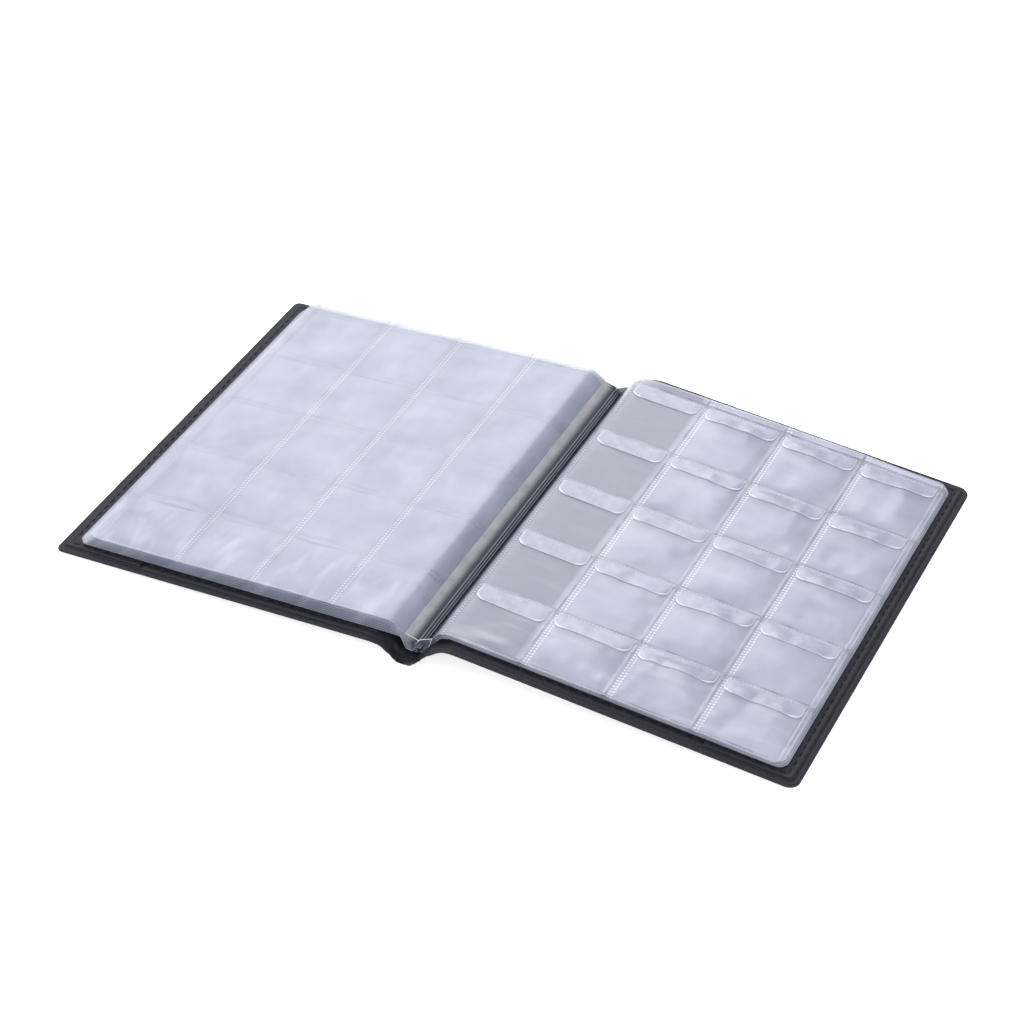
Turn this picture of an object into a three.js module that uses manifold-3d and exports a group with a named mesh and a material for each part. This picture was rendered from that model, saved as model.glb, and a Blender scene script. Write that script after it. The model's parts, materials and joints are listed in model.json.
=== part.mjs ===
// A coin album lying open on a table: two soft covers on a V-folded spine, and ten clear vinyl
// leaves, each with four columns and five rows of coin pockets.
// Millimetres. +X runs toward the back cover, +Y toward the top edge of the leaves, +Z up.
// The origin is on the table, under the middle of the open album.
import * as THREE from 'three';
import { mergeVertices } from 'three/addons/utils/BufferGeometryUtils.js';
import Module from 'manifold-3d';

const wasm = await Module();
wasm.setup();

// Open album
const OPEN_WIDTH = 330.8;
const COVER_HEIGHT = 205;
const FRONT_HINGE = new THREE.Vector2(-15, 6);
const BACK_HINGE = new THREE.Vector2(17, 13);

// Cover layers, as heights above the outside of the cover
const SKIN = [0, 0.4];
const BOARD = [0.55, 1.15];
const TURN_IN = [1.3, 1.6];
const LINING = [1.75, 2.05];
const THREAD = [2.2, 2.5];
const END_SHEET = [2.2, 2.4];
const SLEEVE = [2.55, 2.85];
const SLEEVE_THREAD = [3, 3.3];

// Cover details, as distances in from the cover's edges
const COVER_CORNER = 4;
const HINGE_GAP = 0.3;
const OVERCUT = 1;
const LEAST_CORNER = 1;
const BOARD_INSET = 0.6;
const TURN_IN_WIDTH = 9;
const LINING_INSET = 2.5;
const SLEEVE_WIDTH = 40;
const SLEEVE_RIM = 4;
const SEAM_INSET = 5;
const THREAD_WIDTH = 0.5;
const END_SHEET_INSET = 7.1;
const BOARD_START = 2;
const LINING_START = 1.5;
const END_SHEET_START = 3;

// Leaves
const LEAF_HEIGHT = 193;
const LEAF_MIDDLE_Y = -0.5;
const LEAF_LENGTH = 141;
const LEAF_CORNER = 4.5;
const FILM = 0.2;
const POCKET_GAP = 0.2;
const LEAF_THICKNESS = 2 * FILM + POCKET_GAP;
const COLUMNS = 4;
const ROWS = 5;
const COLUMN_PITCH = 36.5;
const ROW_PITCH = 38.4;
const TOP_MARGIN = 5;
const FORE_EDGE_MARGIN = 1.5;
const WELD_HALF = 1.7;
const MOUTH_BELOW_WELD = 3;
const MOUTH_HEIGHT = 1.5;
const FLAP_DEPTH = 8.5;
const FLAP_CORNER = 4;
const FLAP_BELOW_WELD = 0.6;
const FLAP_LIFT = 0.15;

// Piles of leaves: the first seven lie on the front cover and the last three on the back cover.
// A pile starts a little above its cover at both ends, and its leaves are further apart at the
// gutter than at the fore-edge. Each leaf is set back from the one above it.
const LEFT_LEAVES = 7;
const LEAF_COUNT = 10;
const PILE_START = { gutter: 2.65, foreEdge: 3.1 };
const LEFT_PITCH = { gutter: 1.1, foreEdge: 0.72 };
const RIGHT_PITCH = { gutter: 0.85, foreEdge: 0.75 };
const LEFT_TOP_START = -12;
const RIGHT_TOP_START = 17;
const LEFT_SETBACK = 0.8;
const RIGHT_SETBACK = 0.6;

// Spine and binding, as X and Z in the open album's cross-section
const SPINE_BOTTOM = [-3, 1];
const FOLD_START = new THREE.Vector2(1.9, 0.3);
const FOLD_BEND = new THREE.Vector2(8.6, 8.6);
const SPINE_LINING = [0.55, 0.85];
const CURVE_STEPS = 8;
const HINGE_RUN = 5;
const BOTTOM_RUN = 4.5;
const BINDING_X = [0.2, 2.2];
const BINDING_Z = [2.6, 8.4];
const MARGIN_GAP = 0.3;
const MARGIN_FOOT_Z = 5;
const point = (x, z) => new THREE.Vector2(x, z);
const LEFT_MARGIN = {
  top: point(LEFT_TOP_START + MARGIN_GAP, 15.6),
  topBend: point(-4.5, 14.6),
  bottomBend: point(-6, 6.2),
  bottom: point(-15.4, 9.6),
};
const RIGHT_MARGIN = {
  topBend: point(8.5, 17),
  top: point(RIGHT_TOP_START - MARGIN_GAP, 17.8),
  bottom: point(RIGHT_TOP_START + 0.8, 16),
  bottomBend: point(11.5, 14.4),
};

const COLOURS = {
  leatherette: { color: 0x2c2c30, roughness: 0.55, metalness: 0 },
  board: { color: 0x8c8275, roughness: 0.9, metalness: 0 },
  thread: { color: 0x18181b, roughness: 0.8, metalness: 0 },
  film: { color: 0xc9cddd, roughness: 0.2, metalness: 0, transparent: true, opacity: 0.5 },
};

const album = new THREE.Group();

function node(name, geometry, colour, parent) {
  const mesh = new THREE.Mesh(geometry, new THREE.MeshStandardMaterial(COLOURS[colour]));
  mesh.name = name;
  parent.add(mesh);
}

// A flat sheet: a shape in X and Y, between two heights.
function sheet(shape, [low, high], curveSegments = 4) {
  const settings = { depth: high - low, bevelEnabled: false, curveSegments };
  return new THREE.ExtrudeGeometry(shape, settings).translate(0, 0, low);
}

// A long piece with one cross-section in X and Z, centred on Y.
function bar(points, length) {
  const settings = { depth: length, bevelEnabled: false };
  const geometry = new THREE.ExtrudeGeometry(new THREE.Shape(points), settings);
  return geometry.rotateX(Math.PI / 2).translate(0, length / 2, 0);
}

function box([x0, x1], [y0, y1], [z0, z1]) {
  const geometry = new THREE.BoxGeometry(x1 - x0, y1 - y0, z1 - z0);
  return geometry.translate((x0 + x1) / 2, (y0 + y1) / 2, (z0 + z1) / 2);
}

function toSolid(geometry) {
  const bare = geometry.clone();
  bare.deleteAttribute('normal');
  bare.deleteAttribute('uv');
  const merged = mergeVertices(bare);
  const vertProperties = new Float32Array(merged.attributes.position.array);
  const triVerts = new Uint32Array(merged.index.array);
  return new wasm.Manifold(new wasm.Mesh({ numProp: 3, vertProperties, triVerts }));
}

function toGeometry(solid) {
  const mesh = solid.getMesh();
  const geometry = new THREE.BufferGeometry();
  geometry.setAttribute('position', new THREE.BufferAttribute(mesh.vertProperties, 3));
  geometry.setIndex(new THREE.BufferAttribute(mesh.triVerts, 1));
  geometry.computeVertexNormals();
  return geometry;
}

function joined(pieces) {
  return toGeometry(pieces.map(toSolid).reduce((whole, piece) => whole.add(piece)));
}

function cut(whole, tools) {
  return toGeometry(tools.map(toSolid).reduce((rest, tool) => rest.subtract(tool), toSolid(whole)));
}

// A rectangle from start to end along X, centred on Y, with round corners at its end.
function roundEnded(start, end, height, radius) {
  const shape = new THREE.Shape();
  const half = height / 2;
  shape.moveTo(start, -half);
  shape.lineTo(end - radius, -half);
  shape.absarc(end - radius, radius - half, radius, -Math.PI / 2, 0, false);
  shape.absarc(end - radius, half - radius, radius, 0, Math.PI / 2, false);
  shape.lineTo(start, half);
  return shape;
}

// The part of a cover's outline that lies a given distance in from its three free edges.
function coverSheet(start, width, inset, layer) {
  const radius = Math.max(COVER_CORNER - inset, LEAST_CORNER);
  return sheet(roundEnded(start, width - inset, COVER_HEIGHT - 2 * inset, radius), layer);
}

// The outer skin wraps round the board's three free edges and turns in over its inner face.
function coverSkin(width) {
  const whole = coverSheet(HINGE_GAP, width, 0, [SKIN[0], TURN_IN[1]]);
  const boardSpace = coverSheet(-OVERCUT, width, SKIN[1], [SKIN[1], TURN_IN[0]]);
  const window = coverSheet(-OVERCUT, width, TURN_IN_WIDTH, [BOARD[1], TURN_IN[1] + OVERCUT]);
  return cut(whole, [boardSpace, window]);
}

// The sleeve is a band along the fore-edge, sewn down on a rim round its three outer sides and
// open toward the gutter. The end sheet slips into it.
function coverSleeve(width) {
  const start = width - SLEEVE_WIDTH;
  const band = coverSheet(start, width, LINING_INSET, [END_SHEET[0], SLEEVE[1]]);
  const room = [END_SHEET[0] - OVERCUT, SLEEVE[0]];
  const inside = coverSheet(start - OVERCUT, width, LINING_INSET + SLEEVE_RIM, room);
  return cut(band, [inside]);
}

// The seam's thread runs along the two short edges, steps up onto the sleeve and crosses it.
function coverThread(width) {
  const step = width - SLEEVE_WIDTH - HINGE_GAP;
  const outer = width - SEAM_INSET;
  const inner = outer - THREAD_WIDTH;
  const runs = [];
  for (const side of [-1, 1]) {
    const y = side * (COVER_HEIGHT / 2 - SEAM_INSET);
    const across = [y - THREAD_WIDTH / 2, y + THREAD_WIDTH / 2];
    runs.push(box([LINING_START, step], across, THREAD));
    runs.push(box([step - THREAD_WIDTH, step], across, [THREAD[0], SLEEVE_THREAD[1]]));
    runs.push(box([step - THREAD_WIDTH, outer], across, SLEEVE_THREAD));
  }
  const reach = (COVER_HEIGHT + THREAD_WIDTH) / 2 - SEAM_INSET;
  runs.push(box([inner, outer], [-reach, reach], SLEEVE_THREAD));
  return joined(runs);
}

function coverWidth(hinge) {
  return Math.hypot(OPEN_WIDTH / 2 - Math.abs(hinge.x), hinge.y);
}

function coverTilt(hinge) {
  return Math.atan2(hinge.y, OPEN_WIDTH / 2 - Math.abs(hinge.x));
}

// A cover in its own frame: X from its hinge to its fore-edge, Z from its outside inward.
function addCover(side, hinge, frame) {
  const width = coverWidth(hinge);
  const endSheetWidth = width - END_SHEET_INSET;
  const endSheetHeight = COVER_HEIGHT - 2 * END_SHEET_INSET;
  const endSheet = roundEnded(END_SHEET_START, endSheetWidth, endSheetHeight, LEAF_CORNER);
  const lining = coverSheet(LINING_START, width, LINING_INSET, LINING);
  node(`${side}_cover_skin`, coverSkin(width), 'leatherette', frame);
  node(`${side}_board`, coverSheet(BOARD_START, width, BOARD_INSET, BOARD), 'board', frame);
  node(`${side}_lining`, lining, 'leatherette', frame);
  node(`${side}_sleeve`, coverSleeve(width), 'leatherette', frame);
  node(`${side}_seam_thread`, coverThread(width), 'thread', frame);
  node(`${side}_end_sheet`, sheet(endSheet, END_SHEET), 'film', frame);
}

function addCovers() {
  const front = new THREE.Group();
  front.position.set(FRONT_HINGE.x, 0, FRONT_HINGE.y);
  front.rotation.y = -coverTilt(FRONT_HINGE);
  const facingLeft = new THREE.Group();
  facingLeft.rotation.z = Math.PI;
  front.add(facingLeft);
  addCover('front', FRONT_HINGE, facingLeft);

  const back = new THREE.Group();
  back.position.set(BACK_HINGE.x, 0, BACK_HINGE.y);
  back.rotation.y = coverTilt(BACK_HINGE);
  addCover('back', BACK_HINGE, back);
  album.add(front, back);
}

// A leaf in its own frame: X from the gutter to the fore-edge, Z from the backing film to the
// pocket film. The pocket columns are counted in from the fore-edge, and the one by the gutter
// runs on past the leaf's stiff part into its flexible margin.
function leafOutline() {
  return roundEnded(0, LEAF_LENGTH, LEAF_HEIGHT, LEAF_CORNER);
}

function pocketSpan(column) {
  const outer = LEAF_LENGTH - FORE_EDGE_MARGIN - column * COLUMN_PITCH;
  const inner = Math.max(outer - COLUMN_PITCH, 0);
  return [inner + WELD_HALF, outer - WELD_HALF];
}

// Above the first row of pockets is a plain margin, and the last row ends at the leaf's edge.
function rowTop(row) {
  return LEAF_HEIGHT / 2 - TOP_MARGIN - row * ROW_PITCH;
}

// The pocket film, with a slot under each pocket's top weld for the coin to go in.
function pocketFilm() {
  const mouths = [];
  for (let row = 0; row < ROWS; row++) {
    const top = rowTop(row) - MOUTH_BELOW_WELD;
    for (let column = 0; column < COLUMNS; column++) {
      mouths.push(box(pocketSpan(column), [top - MOUTH_HEIGHT, top], [0, 2 * LEAF_THICKNESS]));
    }
  }
  return cut(sheet(leafOutline(), [LEAF_THICKNESS - FILM, LEAF_THICKNESS]), mouths);
}

// A tuck flap hangs from its pocket's top weld over the mouth, with round lower corners.
function tuckFlap(row, column) {
  const [inner, outer] = pocketSpan(column);
  const top = rowTop(row) - FLAP_BELOW_WELD;
  const bottom = top - FLAP_DEPTH;
  const low = LEAF_THICKNESS + FLAP_LIFT;
  const shape = new THREE.Shape();
  const cornerY = bottom + FLAP_CORNER;
  const down = 1.5 * Math.PI;
  shape.moveTo(outer, top);
  shape.lineTo(inner, top);
  shape.absarc(inner + FLAP_CORNER, cornerY, FLAP_CORNER, Math.PI, down, false);
  shape.absarc(outer - FLAP_CORNER, cornerY, FLAP_CORNER, down, 2 * Math.PI, false);
  return sheet(shape, [low, low + FILM]);
}

// Where leaf number i of a pile, counted up from the cover, starts and ends, and how it tilts.
// The heights are those of the leaf's underside.
function leafLine(hinge, pitch, startX, index) {
  const tilt = coverTilt(hinge);
  const across = Math.abs(startX - hinge.x) * Math.sign(hinge.x * (startX - hinge.x));
  const height = PILE_START.gutter + index * pitch.gutter;
  const startZ = hinge.y - across * Math.tan(tilt) + height / Math.cos(tilt);
  const closing = PILE_START.foreEdge - PILE_START.gutter + index * (pitch.foreEdge - pitch.gutter);
  return { startZ, tilt: tilt - Math.atan2(closing, LEAF_LENGTH) };
}

function addLeaf(number, frame) {
  const name = `leaf_${String(number).padStart(2, '0')}`;
  node(`${name}_backing`, sheet(leafOutline(), [0, FILM]), 'film', frame);
  node(`${name}_pockets`, pocketFilm(), 'film', frame);
}

// A leaf of the left pile lies pockets down, so its frame is turned over and hangs from its top.
function addLeftLeaves() {
  for (let number = 1; number <= LEFT_LEAVES; number++) {
    const startX = LEFT_TOP_START - (LEFT_LEAVES - number) * LEFT_SETBACK;
    const { startZ, tilt } = leafLine(FRONT_HINGE, LEFT_PITCH, startX, number - 1);
    const frame = new THREE.Group();
    frame.position.set(startX, LEAF_MIDDLE_Y, startZ + LEAF_THICKNESS);
    frame.rotation.y = Math.PI - tilt;
    addLeaf(number, frame);
    album.add(frame);
  }
}

function addRightLeaves() {
  for (let number = LEFT_LEAVES + 1; number <= LEAF_COUNT; number++) {
    const startX = RIGHT_TOP_START + (number - LEFT_LEAVES - 1) * RIGHT_SETBACK;
    const { startZ, tilt } = leafLine(BACK_HINGE, RIGHT_PITCH, startX, LEAF_COUNT - number);
    const frame = new THREE.Group();
    frame.position.set(startX, LEAF_MIDDLE_Y, startZ);
    frame.rotation.y = tilt;
    addLeaf(number, frame);
    if (number === LEFT_LEAVES + 1) addTuckFlaps(frame);
    album.add(frame);
  }
}

// Rows are numbered from the top edge and columns from the gutter.
function addTuckFlaps(frame) {
  for (let row = 0; row < ROWS; row++) {
    for (let column = 0; column < COLUMNS; column++) {
      const name = `tuck_flap_row${row + 1}_column${COLUMNS - column}`;
      node(name, tuckFlap(row, column), 'film', frame);
    }
  }
}

// The outline of a thin sheet that follows a line of points, between two heights above it.
function followed(line, [low, high]) {
  const normals = line.map((point, i) => {
    const before = line[Math.max(i - 1, 0)];
    const after = line[Math.min(i + 1, line.length - 1)];
    const along = after.clone().sub(before).normalize();
    return new THREE.Vector2(-along.y, along.x);
  });
  const at = (height) => line.map((point, i) => point.clone().addScaledVector(normals[i], height));
  return [...at(low), ...at(high).reverse()];
}

// From the front hinge, the spine curves down to the narrow flat that the album rests on.
function spineLine() {
  const start = new THREE.Vector2(FRONT_HINGE.x + HINGE_GAP, FRONT_HINGE.y);
  const end = new THREE.Vector2(SPINE_BOTTOM[0], 0);
  const away = new THREE.Vector2(start.x + HINGE_RUN, start.y);
  const toward = new THREE.Vector2(end.x - BOTTOM_RUN, 0);
  const curve = new THREE.CubicBezierCurve(start, away, toward, end);
  return [...curve.getPoints(CURVE_STEPS), new THREE.Vector2(SPINE_BOTTOM[1], 0)];
}

// From the flat, the other leg of the V rises to the back hinge.
function foldLine() {
  const end = new THREE.Vector2(BACK_HINGE.x - HINGE_GAP, BACK_HINGE.y);
  return new THREE.QuadraticBezierCurve(FOLD_START, FOLD_BEND, end).getPoints(CURVE_STEPS);
}

function addSpine() {
  const spine = spineLine();
  const fold = foldLine();
  const shortFold = fold.slice(1, -2);
  const shortSpine = spine.slice(2, -1);
  const liningHeight = COVER_HEIGHT - 2 * LINING_INSET;
  node('spine_skin', bar(followed(spine, SKIN), COVER_HEIGHT), 'leatherette', album);
  node('spine_lining', bar(followed(shortSpine, SPINE_LINING), liningHeight), 'leatherette', album);
  node('spine_fold_skin', bar(followed(fold, SKIN), COVER_HEIGHT), 'leatherette', album);
  node('spine_fold_lining', bar(followed(shortFold, SPINE_LINING), liningHeight), 'leatherette', album);
}

// The leaves' inner margins come down from both piles and are welded together in one upright bead.
function leafBar(shape) {
  return bar(shape.getPoints(CURVE_STEPS), LEAF_HEIGHT).translate(0, LEAF_MIDDLE_Y, 0);
}

function addBinding() {
  const [beadLeft, beadRight] = BINDING_X;
  const beadTop = BINDING_Z[1];
  const across = [LEAF_MIDDLE_Y - LEAF_HEIGHT / 2, LEAF_MIDDLE_Y + LEAF_HEIGHT / 2];
  node('binding_strip', box(BINDING_X, across, BINDING_Z), 'film', album);

  const left = new THREE.Shape();
  const leftEnd = beadLeft - MARGIN_GAP;
  left.moveTo(LEFT_MARGIN.top.x, LEFT_MARGIN.top.y);
  left.quadraticCurveTo(...LEFT_MARGIN.topBend, leftEnd, beadTop);
  left.lineTo(leftEnd, MARGIN_FOOT_Z);
  left.quadraticCurveTo(...LEFT_MARGIN.bottomBend, ...LEFT_MARGIN.bottom);
  node('left_leaf_margins', leafBar(left), 'film', album);

  const right = new THREE.Shape();
  const rightEnd = beadRight + MARGIN_GAP;
  right.moveTo(rightEnd, MARGIN_FOOT_Z);
  right.lineTo(rightEnd, beadTop);
  right.quadraticCurveTo(...RIGHT_MARGIN.topBend, ...RIGHT_MARGIN.top);
  right.lineTo(RIGHT_MARGIN.bottom.x, RIGHT_MARGIN.bottom.y);
  right.quadraticCurveTo(...RIGHT_MARGIN.bottomBend, rightEnd, MARGIN_FOOT_Z);
  node('right_leaf_margins', leafBar(right), 'film', album);
}

addSpine();
addBinding();
addCovers();
addLeftLeaves();
addRightLeaves();

export default album;
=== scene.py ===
"""The looks of a coin album that lies open: leatherette covers with a sewn hem, and ten clear vinyl
leaves whose welded pockets are puffed and wrinkled. Lengths are millimetres until a mesh is made."""
import json
import math

import bpy
import numpy as np
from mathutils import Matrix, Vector


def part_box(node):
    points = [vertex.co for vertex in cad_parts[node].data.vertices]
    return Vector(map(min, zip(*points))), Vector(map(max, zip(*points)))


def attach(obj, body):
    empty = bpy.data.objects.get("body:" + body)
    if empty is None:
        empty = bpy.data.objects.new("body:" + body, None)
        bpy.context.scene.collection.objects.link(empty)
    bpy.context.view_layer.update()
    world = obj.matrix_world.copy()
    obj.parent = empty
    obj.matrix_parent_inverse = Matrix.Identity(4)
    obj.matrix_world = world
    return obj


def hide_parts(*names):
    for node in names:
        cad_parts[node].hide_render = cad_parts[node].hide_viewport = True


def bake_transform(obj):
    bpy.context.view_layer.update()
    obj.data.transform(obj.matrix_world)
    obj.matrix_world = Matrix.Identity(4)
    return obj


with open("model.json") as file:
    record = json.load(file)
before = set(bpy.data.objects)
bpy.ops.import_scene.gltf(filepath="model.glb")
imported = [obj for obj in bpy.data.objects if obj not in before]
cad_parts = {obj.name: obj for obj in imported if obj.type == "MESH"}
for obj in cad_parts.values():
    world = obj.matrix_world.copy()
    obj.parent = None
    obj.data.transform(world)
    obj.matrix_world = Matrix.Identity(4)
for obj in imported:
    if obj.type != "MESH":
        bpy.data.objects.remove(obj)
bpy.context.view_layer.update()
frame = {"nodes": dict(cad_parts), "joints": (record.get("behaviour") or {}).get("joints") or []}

MM = 0.001
RNG = np.random.default_rng(41)

# Leaves, as in the CAD
LEAF_LENGTH = 141
LEAF_HEIGHT = 193
LEAF_CORNER = 4.5
FILM = 0.2
LEAF_MIDDLE = 0.3
COLUMN_PITCH = 36.5
RIGHT_WELD = -6.5
LEFT_WELD = -9.5
ROW_PITCH = 38.4
ROWS, COLUMNS = 5, 4
TOP_MARGIN = 5
LEAF_MIDDLE_Y = -0.5
LEAF_TOP = LEAF_MIDDLE_Y + LEAF_HEIGHT / 2
LEAF_BOTTOM = LEAF_MIDDLE_Y - LEAF_HEIGHT / 2
FIRST_WELD = LEAF_TOP - TOP_MARGIN
LAST_WELD = FIRST_WELD - (ROWS - 1) * ROW_PITCH
WELD_HALF = 1.7
LEFT_LEAVES = range(1, 8)
RIGHT_LEAVES = range(8, 11)
TOP_LEAVES = (7, 8)
FLAP_LEAF = 8
LEFT, RIGHT = -1, 1
GUTTER_WELD = {LEFT: LEFT_WELD, RIGHT: RIGHT_WELD}

# Covers, as in the CAD
COVER_HEIGHT = 205
COVER_CORNER = {"front": 3, "back": 5}
COVER_THICK = 2.0
SPINE_THICK = 0.9
SLEEVE_WIDTH = 40
SEAM_INSET = 5.2
STITCH_PITCH = 4.9
# Where the sleeve's open edge is drawn in at the hem, as distance from the fore-edge and depth
HEM_NOTCHES = ((SLEEVE_WIDTH + 0.6, 0.35), (SLEEVE_WIDTH - 3.4, 0.25))


# Noise tables are this many cells across, and positions start in their middle
NOISE_CELLS = 64


def smoothstep(low, high, x):
    t = np.clip((x - low) / (high - low), 0, 1)
    return t * t * (3 - 2 * t)


def noise(u, v, size, seed):
    """Smooth noise from -1 to 1, with features about size across."""
    table = np.random.default_rng(seed).uniform(-1, 1, (NOISE_CELLS, NOISE_CELLS))
    u, v = u / size + NOISE_CELLS // 2, v / size + NOISE_CELLS // 2
    iu, iv = np.floor(u).astype(int), np.floor(v).astype(int)
    fu, fv = smoothstep(0, 1, u - iu), smoothstep(0, 1, v - iv)
    corner = lambda a, b: table[(iu + a) % NOISE_CELLS, (iv + b) % NOISE_CELLS]
    near = corner(0, 0) * (1 - fu) + corner(1, 0) * fu
    far = corner(0, 1) * (1 - fu) + corner(1, 1) * fu
    return near * (1 - fv) + far * fv


def box_mm(node):
    low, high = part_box(node)
    return np.array(low) / MM, np.array(high) / MM


def bezier(points, count=24):
    """Points of the cubic curve with these four control points."""
    t = np.linspace(0, 1, count)[:, None]
    p0, p1, p2, p3 = (np.array(p, float) for p in points)
    s = 1 - t
    return s ** 3 * p0 + 3 * s * s * t * p1 + 3 * s * t * t * p2 + t ** 3 * p3


class Line:
    """A line in the album's cross-section, followed by the distance along it."""

    def __init__(self, points, side, zero=0.0):
        self.points = np.array(points, float)
        steps = np.linalg.norm(np.diff(self.points, axis=0), axis=1)
        self.at = np.concatenate([[0], np.cumsum(steps)]) + zero
        self.side = side
        tangent = np.stack([np.gradient(self.points[:, k], self.at) for k in (0, 1)], 1)
        tangent /= np.linalg.norm(tangent, axis=1)[:, None]
        self.up = np.stack([-tangent[:, 1], tangent[:, 0]], 1) * side

    def place(self, distance, height):
        """X and Z at a distance along the line and a height above it."""
        x, z = (np.interp(distance, self.at, self.points[:, k]) for k in (0, 1))
        up_x, up_z = (np.interp(distance, self.at, self.up[:, k]) for k in (0, 1))
        return x + up_x * height, z + up_z * height


def make_mesh(name, points, faces, flat, material):
    mesh = bpy.data.meshes.new(name)
    mesh.from_pydata((np.asarray(points) * MM).tolist(), [], np.asarray(faces).tolist())
    mesh.update()
    uv = mesh.uv_layers.new(name="flat")
    corner = np.zeros(len(mesh.loops), int)
    mesh.loops.foreach_get("vertex_index", corner)
    uv.data.foreach_set("uv", (np.asarray(flat)[corner] * MM).astype(np.float32).ravel())
    mesh.shade_smooth()
    piece = bpy.data.objects.new(name, mesh)
    bpy.context.scene.collection.objects.link(piece)
    mesh.materials.append(material)
    return piece


def shell_parts(line, along, across, top, bottom, squeeze=None, label=None):
    """Points, faces and flat coordinates of a closed sheet between two heights above a line."""
    p, y = np.meshgrid(along, across, indexing="ij")
    labels = label(p, y) if label else None
    if squeeze:
        p, y = squeeze(p, y)
    rows, columns = p.shape
    high, low = top(p, y), bottom(p, y)
    rim = np.ones(p.shape, bool)
    rim[1:-1, 1:-1] = False
    middle = (high + low) / 2
    high, low = np.where(rim, middle, high), np.where(rim, middle, low)
    above = np.arange(rows * columns).reshape(rows, columns)
    below = above.copy()
    below[~rim] = rows * columns + np.arange((~rim).sum())
    points = []
    for heights, chosen in ((high, np.ones(p.shape, bool)), (low, ~rim)):
        x, z = line.place(p[chosen], heights[chosen])
        points.append(np.stack([x, y[chosen], z], 1))
    quads = []
    for index, order in ((above, line.side), (below, -line.side)):
        ring = [index[:-1, :-1], index[1:, :-1], index[1:, 1:], index[:-1, 1:]][::order]
        quads.append(np.stack([r.ravel() for r in ring], 1))
    flat = np.stack([part.ravel() for part in (labels or (p, y))], 1)
    flat = np.concatenate([flat, flat[(~rim).ravel()]])
    return np.concatenate(points), np.concatenate(quads), flat


def shell(name, line, along, across, top, bottom, material, squeeze=None):
    return make_mesh(name, *shell_parts(line, along, across, top, bottom, squeeze), material)


def gathered(parts):
    """Several meshes' points, faces and flat coordinates as one."""
    points, faces, flat, count = [], [], [], 0
    for p, f, u in parts:
        points.append(p)
        faces.append(f + count)
        flat.append(u)
        count += len(p)
    return np.concatenate(points), np.concatenate(faces), np.concatenate(flat)


def spaced(stops, step):
    """Positions from the first stop to the last, through all of them, about a step apart."""
    stops = sorted(set(np.round(stops, 4)))
    runs = []
    for a, b in zip(stops, stops[1:]):
        runs.append(np.linspace(a, b, max(int(math.ceil((b - a) / step)), 1) + 1)[:-1])
    return np.concatenate(runs + [[stops[-1]]])


def rounded(distance, radius):
    """A quarter circle's rise from 0 at the edge to 1 at radius."""
    return np.sqrt(np.clip(1 - (1 - np.clip(distance / radius, 0, 1)) ** 2, 0, 1))


def ridge(distance, place, width):
    """A smooth bump of height 1 at a place."""
    return np.exp(-((distance - place) / width) ** 2)


def across_album(x, z=0):
    """A point of the album's cross-section, in metres."""
    return x * MM, 0, z * MM


def round_corners(edge, half, radius, middle=0.0):
    """Draws a sheet's Y in near its edge at distance 0, so that its corners are round."""
    reach = 3 * radius

    def squeeze(p, y):
        from_edge = np.clip(edge(p), 0, radius)
        cut = radius - np.sqrt(radius ** 2 - (radius - from_edge) ** 2)
        off = y - middle
        share = np.clip((np.abs(off) - half + reach) / reach, 0, 1)
        return p, y - np.sign(off) * cut * share

    return squeeze


def edge_distance(fore, y, half, radius):
    """Distance in from the three free edges of a sheet with round corners."""
    side = half - np.abs(y)
    plain = np.minimum(fore, side)
    corner = radius - np.hypot(radius - fore, radius - side)
    return np.where((fore < radius) & (side < radius), corner, plain)


# ---------------------------------------------------------------- materials


def new_material(name):
    material = bpy.data.materials.new(name)
    material.use_nodes = True
    tree = material.node_tree
    shader = tree.nodes["Principled BSDF"]
    return material, tree, shader


def fill(tree, node, inputs):
    """Sets or links a node's inputs, by position or name."""
    for key, value in dict(inputs).items():
        if isinstance(value, bpy.types.NodeSocket):
            tree.links.new(value, node.inputs[key])
        else:
            node.inputs[key].default_value = value


def add(tree, kind, inputs=(), **settings):
    """A node with its settings and its inputs."""
    node = tree.nodes.new(kind)
    for key, value in settings.items():
        setattr(node, key, value)
    fill(tree, node, inputs)
    return node


def maths(tree, operation, *values, clamp=False):
    return add(tree, "ShaderNodeMath", enumerate(values), operation=operation, use_clamp=clamp).outputs[0]


def times(tree, a, b):
    return maths(tree, "MULTIPLY", a, b)


def less(tree, a, b):
    return maths(tree, "SUBTRACT", a, b)


def larger(tree, a, b):
    return maths(tree, "MAXIMUM", a, b)


def smaller(tree, a, b):
    return maths(tree, "MINIMUM", a, b)


def pingpong(tree, a, length):
    """Distance to the nearest of the lines that are two lengths apart."""
    return maths(tree, "PINGPONG", a, length)


def flat_position(tree):
    return add(tree, "ShaderNodeUVMap", uv_map="flat").outputs[0]


def object_position(tree):
    return add(tree, "ShaderNodeTexCoord").outputs["Object"]


def noise_texture(tree, where, size, detail=3.0, rough=0.5):
    inputs = {"Vector": where, "Scale": 1 / (size * MM), "Detail": detail, "Roughness": rough}
    return add(tree, "ShaderNodeTexNoise", inputs).outputs["Fac"]


def band(tree, value, low, high, to_low, to_high):
    """Maps a value from low..high to to_low..to_high, held at its ends."""
    inputs = {"Value": value, 1: low, 2: high, 3: to_low, 4: to_high}
    return add(tree, "ShaderNodeMapRange", inputs, clamp=True).outputs[0]


def colour_between(tree, share, first, second):
    inputs = {0: share, 6: (*first, 1), 7: (*second, 1)}
    return add(tree, "ShaderNodeMix", inputs, data_type="RGBA").outputs[2]


def mixed(tree, share, first, second):
    """A linked colour mixed with a plain one."""
    return add(tree, "ShaderNodeMix", {0: share, 6: first, 7: (*second, 1)}, data_type="RGBA").outputs[2]


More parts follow.
